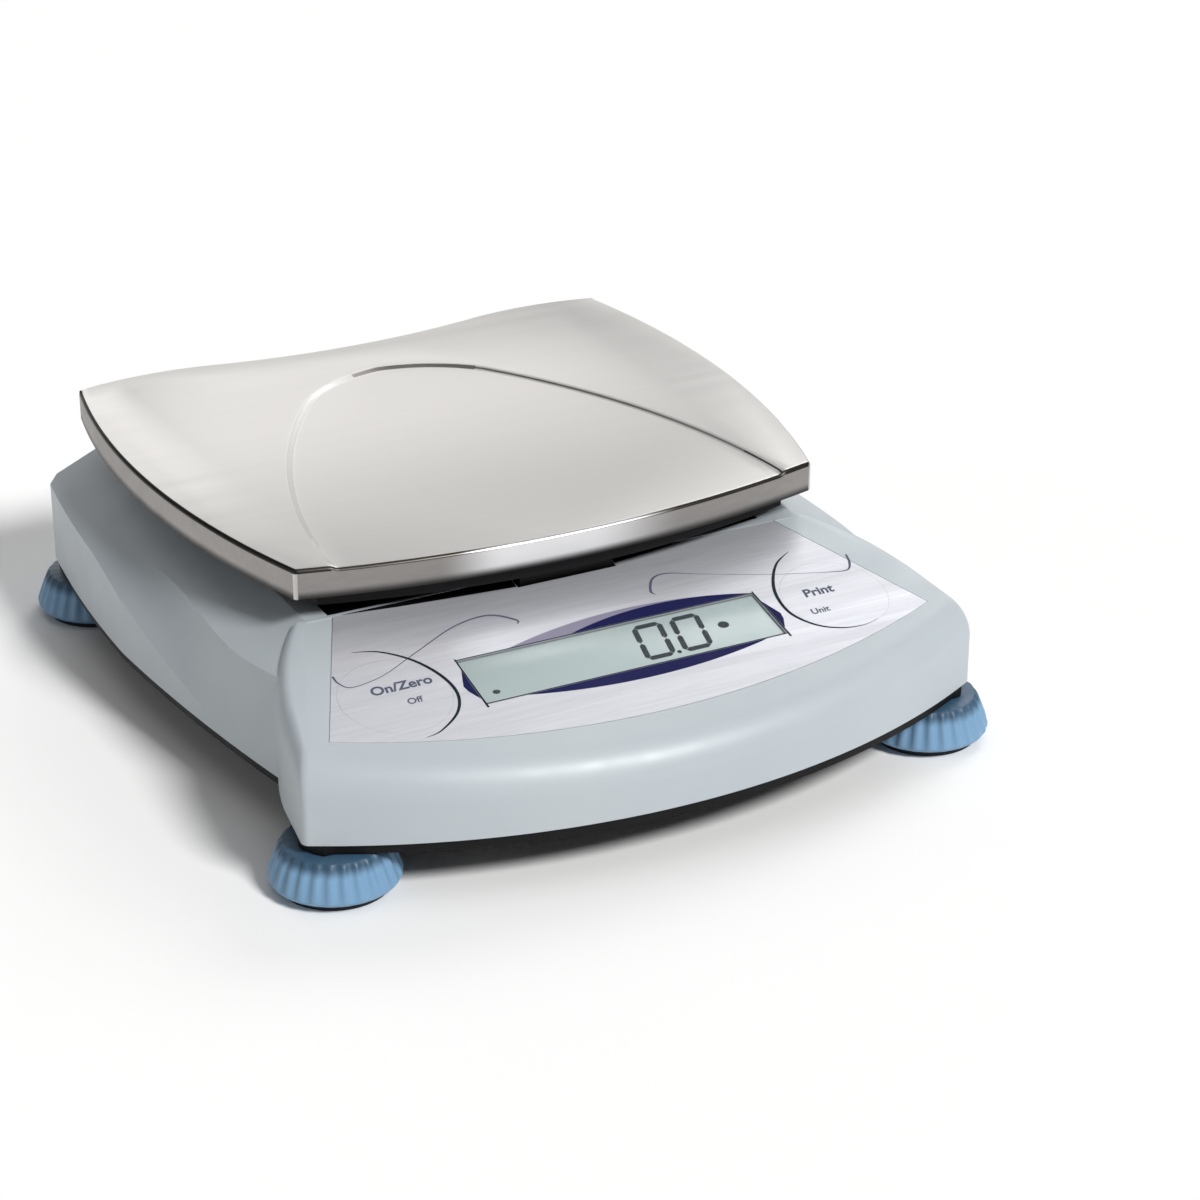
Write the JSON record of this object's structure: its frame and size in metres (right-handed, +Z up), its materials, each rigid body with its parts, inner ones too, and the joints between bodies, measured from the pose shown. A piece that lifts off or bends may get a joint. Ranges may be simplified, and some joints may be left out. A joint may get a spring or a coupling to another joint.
{
  "type": "digital precision scale",
  "caption": "Portable digital precision scale: steel weighing pan over a low moulded housing with a tilted display panel, round keys and fluted levelling feet.",
  "frame": {"origin": "on the table under the middle of the object's box", "axes": "+Z up, -Y out of the front with the display, +X to the right of someone who faces the front"},
  "size_m": [0.1996, 0.2178, 0.0622],
  "materials": {
    "pan_steel": "brushed sheet with a fine straight grain",
    "housing_plastic": "satin pale blue-grey moulding",
    "black_plastic": "matt black moulding",
    "rubber": "soft black rubber",
    "screw_steel": "plain zinc-plated steel",
    "cell_alloy": "machined alloy",
    "gauge_film": "amber foil gauge",
    "brass": "turned brass",
    "panel_film": "printed film with a brushed silver ground",
    "key_film": "silver key caps with a brushed ground",
    "window": "clear window",
    "lcd": "grey-green liquid crystal",
    "board": "green lacquered board",
    "chip": "black component bodies",
    "cable": "grey flat cable",
    "vial": "yellow-green bubble level",
    "red_plastic": "red moulding",
    "battery_sleeve": "printed sleeve, plain",
    "foot_plastic": "satin light blue moulding"
  },
  "bodies": {
    "housing": {"pan_support": "black_plastic", "support_screws": "screw_steel", "load_cell": "cell_alloy", "strain_gauges": "gauge_film", "cell_spacer": "cell_alloy", "support_spacer": "black_plastic", "cell_screws": "screw_steel", "overload_stops": "brass", "upper_housing": "housing_plastic", "base": "black_plastic", "control_overlay": "panel_film", "display_window": "window", "lcd_module": "lcd", "lcd_holder": "black_plastic", "display_board": "board", "key_switches": "black_plastic", "main_board": "board", "board_parts": "chip", "ribbon_cable": "cable", "power_jack": "black_plastic", "level_vial": "vial", "batteries": "battery_sleeve", "battery_contacts": "screw_steel", "housing_screws": "screw_steel", "board_screws": "screw_steel", "foot_inserts": "brass"},
    "pan": {"weighing_pan": "pan_steel", "pan_cushions": "rubber"},
    "key_left": {"left_key": "key_film"},
    "key_right": {"right_key": "key_film"},
    "door": {"battery_door": "black_plastic"},
    "lock": {"transport_lock": "red_plastic"},
    "pad_fl": {"foot_pad_fl": "rubber"},
    "knob_fl": {"foot_knob_fl": "foot_plastic", "foot_stud_fl": "screw_steel"},
    "pad_fr": {"foot_pad_fr": "rubber"},
    "knob_fr": {"foot_knob_fr": "foot_plastic", "foot_stud_fr": "screw_steel"},
    "pad_rl": {"foot_pad_rl": "rubber"},
    "knob_rl": {"foot_knob_rl": "foot_plastic", "foot_stud_rl": "screw_steel"},
    "pad_rr": {"foot_pad_rr": "rubber"},
    "knob_rr": {"foot_knob_rr": "foot_plastic", "foot_stud_rr": "screw_steel"}
  },
  "joints": [
    {"name": "pan_lift", "type": "slide", "parent": "housing", "child": "pan", "axis": [0, 0, 1], "range_m": [0, 0.06]},
    {"name": "left_key_press", "type": "slide", "parent": "housing", "child": "key_left", "axis": [0, -0.2079, 0.9781], "range_m": [-0.0008, 0], "stiffness_N_per_m": 1500, "springref_m": 0.0005},
    {"name": "right_key_press", "type": "slide", "parent": "housing", "child": "key_right", "axis": [0, -0.2079, 0.9781], "range_m": [-0.0008, 0], "stiffness_N_per_m": 1500, "springref_m": 0.0005},
    {"name": "battery_door_off", "type": "slide", "parent": "housing", "child": "door", "axis": [0, 0, -1], "range_m": [0, 0.01]},
    {"name": "transport_lock_turn", "type": "hinge", "parent": "housing", "child": "lock", "pos_m": [0.044, -0.0119, 0.047], "axis": [0, 0, 1], "range_deg": [0, 90]},
    {"name": "front_left_foot_lift", "type": "slide", "parent": "housing", "child": "pad_fl", "axis": [0, 0, 1], "range_m": [-0.006, 0]},
    {"name": "front_left_foot_turn", "type": "hinge", "parent": "pad_fl", "child": "knob_fl", "pos_m": [-0.0834, -0.0797, 0.008], "axis": [0, 0, 1], "range_deg": [-2702, 0]},
    {"name": "front_right_foot_lift", "type": "slide", "parent": "housing", "child": "pad_fr", "axis": [0, 0, 1], "range_m": [-0.006, 0]},
    {"name": "front_right_foot_turn", "type": "hinge", "parent": "pad_fr", "child": "knob_fr", "pos_m": [0.0834, -0.0797, 0.008], "axis": [0, 0, 1], "range_deg": [-2702, 0]},
    {"name": "rear_left_foot_lift", "type": "slide", "parent": "housing", "child": "pad_rl", "axis": [0, 0, 1], "range_m": [-0.006, 0]},
    {"name": "rear_left_foot_turn", "type": "hinge", "parent": "pad_rl", "child": "knob_rl", "pos_m": [-0.0819, 0.0925, 0.008], "axis": [0, 0, 1], "range_deg": [-2702, 0]},
    {"name": "rear_right_foot_lift", "type": "slide", "parent": "housing", "child": "pad_rr", "axis": [0, 0, 1], "range_m": [-0.006, 0]},
    {"name": "rear_right_foot_turn", "type": "hinge", "parent": "pad_rr", "child": "knob_rr", "pos_m": [0.0819, 0.0925, 0.008], "axis": [0, 0, 1], "range_deg": [-2702, 0]}
  ],
  "couplings": [
    {"joint": "front_left_foot_turn", "follows": "front_left_foot_lift", "rad_per_m": 7854},
    {"joint": "front_right_foot_turn", "follows": "front_right_foot_lift", "rad_per_m": 7854},
    {"joint": "rear_left_foot_turn", "follows": "rear_left_foot_lift", "rad_per_m": 7854},
    {"joint": "rear_right_foot_turn", "follows": "rear_right_foot_lift", "rad_per_m": 7854}
  ]
}
